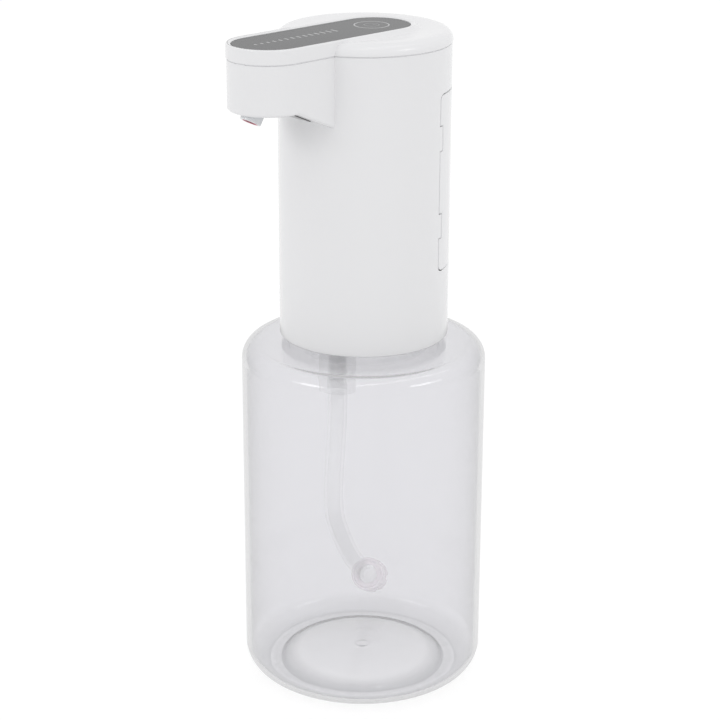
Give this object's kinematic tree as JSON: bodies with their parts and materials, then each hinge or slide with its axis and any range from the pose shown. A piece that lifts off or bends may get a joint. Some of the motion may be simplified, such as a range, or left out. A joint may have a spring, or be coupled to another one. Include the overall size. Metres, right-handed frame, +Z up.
{
  "type": "automatic soap dispenser",
  "caption": "Touch-free soap dispenser: clear round screw-on bottle with dip hose, white tower with a forward arm, nozzle, sensor window, grey touch panel and rear battery door.",
  "frame": {"origin": "centre of the ring that the bottle stands on", "axes": "+Z up along the bottle's and tower's axis, -Y the way the arm and nozzle point, +Y to the rear and the battery door"},
  "size_m": [0.075, 0.0868, 0.2065],
  "materials": {
    "white_shell": "fine satin white ABS",
    "white_inner": "moulded white ABS, unpolished",
    "screw_steel": "zinc plated",
    "panel_grey": "smoked grey printed acrylic",
    "board_green": "solder mask",
    "spring_steel": "bright wire",
    "contact_nickel": "nickel plated",
    "led_clear": "clear yellow lens",
    "chip_black": "moulded epoxy",
    "wire_red": "PVC wire",
    "window_black": "infrared-pass plastic, polished",
    "holder_grey": "moulded",
    "lamp_clear": "clear epoxy lens",
    "lamp_black": "dark epoxy lens",
    "milky_plastic": "translucent polypropylene",
    "seal_white": "silicone",
    "seal_pink": "silicone",
    "milky_tube": "translucent silicone tube",
    "milky_filter": "translucent, faintly pink",
    "pump_plastic": "acetal",
    "gear_ivory": "acetal",
    "brass_pinion": "machined",
    "shaft_steel": "ground",
    "seal_black": "nitrile",
    "armature_core": "laminated core with enamelled copper",
    "magnet_dark": "ferrite",
    "motor_steel": "zinc plated can",
    "cap_black": "nylon",
    "terminal_brass": "tinned brass",
    "cell_jacket": "plain printed jacket",
    "clear_bottle": "clear PET, glossy"
  },
  "bodies": {
    "head": {"body_shell": "white_shell", "top_cover": "white_shell", "cover_screws": "screw_steel", "touch_panel": "panel_grey", "touch_board": "board_green", "touch_spring": "spring_steel", "status_led": "led_clear", "main_board": "board_green", "board_parts": "chip_black", "wire_loom": "wire_red", "ir_window": "window_black", "sensor_holder": "holder_grey", "ir_emitter": "lamp_clear", "ir_receiver": "lamp_black", "sensor_board": "board_green", "nozzle": "milky_plastic", "nozzle_valve": "seal_white", "nozzle_ring": "seal_pink", "outlet_tube": "milky_tube", "inlet_socket": "milky_plastic", "dip_hose": "milky_tube", "inlet_filter": "milky_filter", "neck_ring": "white_inner", "neck_ring_screws": "screw_steel", "pump_body": "pump_plastic", "pump_cover": "pump_plastic", "pump_screws": "screw_steel", "idler_pin": "shaft_steel", "shaft_seal": "seal_black", "motor_magnets": "magnet_dark", "motor_can": "motor_steel", "motor_end_cap": "cap_black", "motor_terminals": "terminal_brass", "motor_screws": "screw_steel", "gearbox_plate": "pump_plastic", "gearbox_screws": "screw_steel", "battery_tray": "white_inner", "tray_screws": "screw_steel", "battery_cell_1": "cell_jacket", "battery_cell_2": "cell_jacket", "battery_cell_3": "cell_jacket", "battery_cell_4": "cell_jacket", "battery_springs": "spring_steel", "contact_plates": "contact_nickel"},
    "bottle": {"bottle": "clear_bottle"},
    "seal_ring": {"seal_ring": "seal_white"},
    "battery_door": {"battery_door": "white_shell"},
    "pump_drive": {"pump_drive_gear": "gear_ivory", "drive_shaft": "shaft_steel", "reduction_gear": "gear_ivory"},
    "pump_idler": {"pump_idler_gear": "gear_ivory"},
    "motor_rotor": {"motor_pinion": "brass_pinion", "motor_shaft": "shaft_steel", "motor_armature": "armature_core"}
  },
  "joints": [
    {"name": "bottle_drop", "type": "slide", "parent": "head", "child": "seal_ring", "axis": [0, 0, -1], "range_m": [0, 0.0085]},
    {"name": "bottle_unscrew", "type": "hinge", "parent": "seal_ring", "child": "bottle", "pos_m": [0, 0, 0.1], "axis": [0, 0, -1], "range_deg": [0, 720]},
    {"name": "battery_door_slide", "type": "slide", "parent": "head", "child": "battery_door", "axis": [0, 1, 0], "range_m": [0, 0.025]},
    {"name": "pump_drive_spin", "type": "hinge", "parent": "head", "child": "pump_drive", "pos_m": [0.005, -0.0068, 0.13], "axis": [0, 0, 1], "continuous": true},
    {"name": "pump_idler_spin", "type": "hinge", "parent": "head", "child": "pump_idler", "pos_m": [-0.005, -0.0068, 0.13], "axis": [0, 0, 1], "continuous": true},
    {"name": "motor_spin", "type": "hinge", "parent": "head", "child": "motor_rotor", "pos_m": [-0.0097, -0.0068, 0.15], "axis": [0, 0, 1], "continuous": true}
  ],
  "couplings": [
    {"joint": "bottle_drop", "follows": "bottle_unscrew", "m_per_rad": 0.00066845},
    {"joint": "pump_idler_spin", "follows": "pump_drive_spin", "ratio": -1},
    {"joint": "motor_spin", "follows": "pump_drive_spin", "ratio": -3.2}
  ]
}
